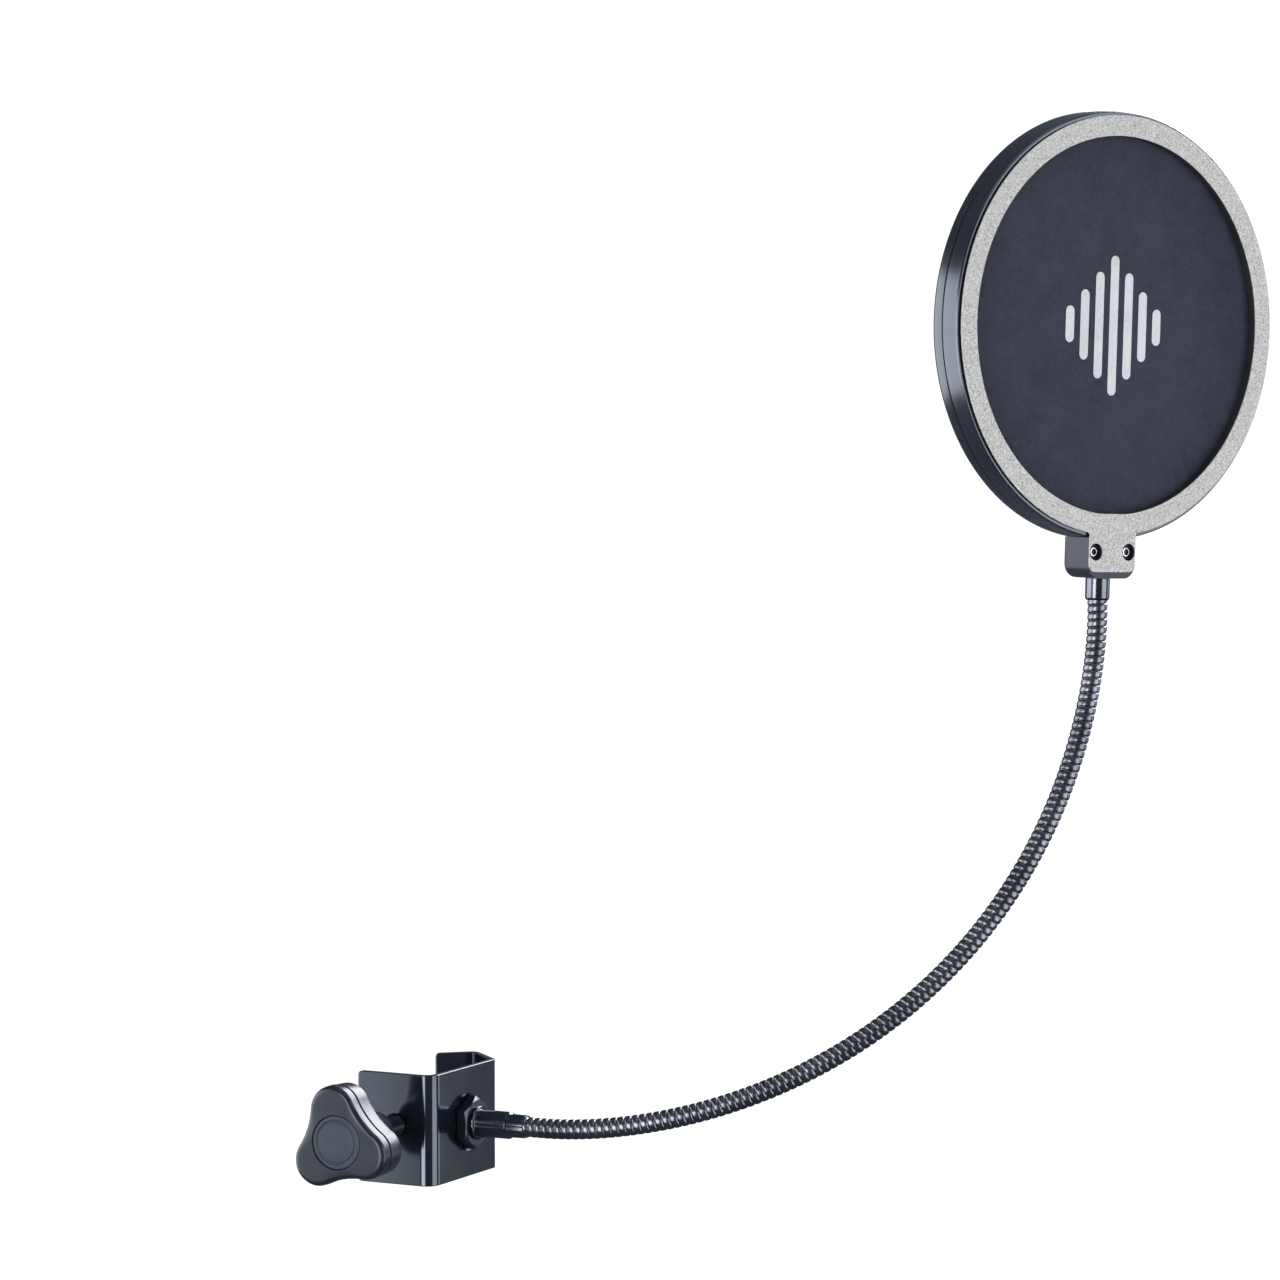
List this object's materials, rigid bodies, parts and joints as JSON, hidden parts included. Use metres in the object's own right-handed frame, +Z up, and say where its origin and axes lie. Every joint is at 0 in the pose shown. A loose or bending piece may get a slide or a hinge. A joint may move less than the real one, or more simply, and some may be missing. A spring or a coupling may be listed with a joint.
{
  "type": "pop filter",
  "caption": "Round two-screen pop filter with a silver front ring, on a long gooseneck whose sheet-steel bracket clamps to a stand tube with a lobed knob.",
  "frame": {"origin": "on the axis of the stand tube that the clamp holds, halfway up the clamp bracket", "axes": "+Z up along the stand tube, +X the way the gooseneck leaves the clamp, -Y towards the knob"},
  "size_m": [0.2723, 0.2491, 0.3835],
  "materials": {
    "bracket_paint": "satin",
    "black_steel": "satin",
    "zinc_steel": "satin",
    "gooseneck_black": "gloss",
    "knob_plastic": "satin",
    "cap_plastic": "satin",
    "pad_rubber": "matte",
    "block_plastic": "satin",
    "speckled_silver": "satin",
    "rim_black": "gloss",
    "hoop_plastic": "matte",
    "mesh_cloth": "matte",
    "brass": "satin"
  },
  "bodies": {
    "clamp": {"clamp_bracket": "bracket_paint", "weld_nut": "zinc_steel", "lock_washer": "black_steel", "neck_nut": "black_steel", "inner_nut": "zinc_steel", "lower_ferrule": "gooseneck_black", "neck_root": "gooseneck_black"},
    "foot": {"pressure_foot": "zinc_steel", "foot_pad": "pad_rubber"},
    "screw": {"clamp_screw": "black_steel", "knob": "knob_plastic", "knob_cap": "cap_plastic"},
    "neck_1": {"neck_link_1": "gooseneck_black"},
    "neck_2": {"neck_link_2": "gooseneck_black"},
    "neck_3": {"neck_link_3": "gooseneck_black"},
    "neck_4": {"neck_link_4": "gooseneck_black"},
    "neck_5": {"neck_link_5": "gooseneck_black"},
    "neck_6": {"neck_link_6": "gooseneck_black"},
    "neck_7": {"neck_link_7": "gooseneck_black"},
    "neck_8": {"neck_link_8": "gooseneck_black"},
    "head": {"neck_tip": "gooseneck_black", "upper_ferrule": "gooseneck_black", "socket_block": "block_plastic", "front_ring": "speckled_silver", "rim_casing": "rim_black", "front_hoop": "hoop_plastic", "front_screen": "mesh_cloth", "spacer_ring": "hoop_plastic", "rear_screen": "mesh_cloth", "rear_hoop": "hoop_plastic", "tab_screws": "zinc_steel", "tab_inserts": "brass"}
  },
  "joints": [
    {"name": "screw_travel", "type": "slide", "parent": "clamp", "child": "foot", "axis": [0, 1, 0], "range_m": [-0.0161, 0.0101]},
    {"name": "knob_turn", "type": "hinge", "parent": "foot", "child": "screw", "pos_m": [0, -0.0454, 0.0012], "axis": [0, 1, 0], "range_deg": [-4608, 2880]},
    {"name": "neck_lift_1", "type": "hinge", "parent": "clamp", "child": "neck_1", "pos_m": [0.046, -0.02, 0], "axis": [0, 1, 0], "range_deg": [-18, 18]},
    {"name": "neck_swing_2", "type": "hinge", "parent": "neck_1", "child": "neck_2", "pos_m": [0.08326, -0.01417, 0.00347], "axis": [-0.158, -0.0964, 0.9827], "range_deg": [-18, 18]},
    {"name": "neck_lift_3", "type": "hinge", "parent": "neck_2", "child": "neck_3", "pos_m": [0.11762, -0.00148, 0.01342], "axis": [-0.4281, 0.9029, 0.0387], "range_deg": [-18, 18]},
    {"name": "neck_swing_4", "type": "hinge", "parent": "neck_3", "child": "neck_4", "pos_m": [0.14787, 0.0148, 0.02959], "axis": [-0.431, -0.2631, 0.8632], "range_deg": [-18, 18]},
    {"name": "neck_lift_5", "type": "hinge", "parent": "neck_4", "child": "neck_5", "pos_m": [0.17296, 0.0328, 0.05167], "axis": [-0.5865, 0.8069, -0.0699], "range_deg": [-18, 18]},
    {"name": "neck_swing_6", "type": "hinge", "parent": "neck_5", "child": "neck_6", "pos_m": [0.19217, 0.05089, 0.07897], "axis": [-0.6743, -0.4116, 0.6131], "range_deg": [-18, 18]},
    {"name": "neck_lift_7", "type": "hinge", "parent": "neck_6", "child": "neck_7", "pos_m": [0.2053, 0.0675, 0.1105], "axis": [-0.5881, 0.7878, -0.1831], "range_deg": [-18, 18]},
    {"name": "neck_swing_8", "type": "hinge", "parent": "neck_7", "child": "neck_8", "pos_m": [0.21267, 0.08087, 0.14527], "axis": [-0.8241, -0.503, 0.2605], "range_deg": [-18, 18]},
    {"name": "neck_lift_9", "type": "hinge", "parent": "neck_8", "child": "head", "pos_m": [0.21513, 0.08781, 0.18246], "axis": [-0.5214, 0.8531, -0.0191], "range_deg": [-18, 18]}
  ],
  "couplings": [
    {"joint": "screw_travel", "follows": "knob_turn", "m_per_rad": 0.00019894}
  ]
}
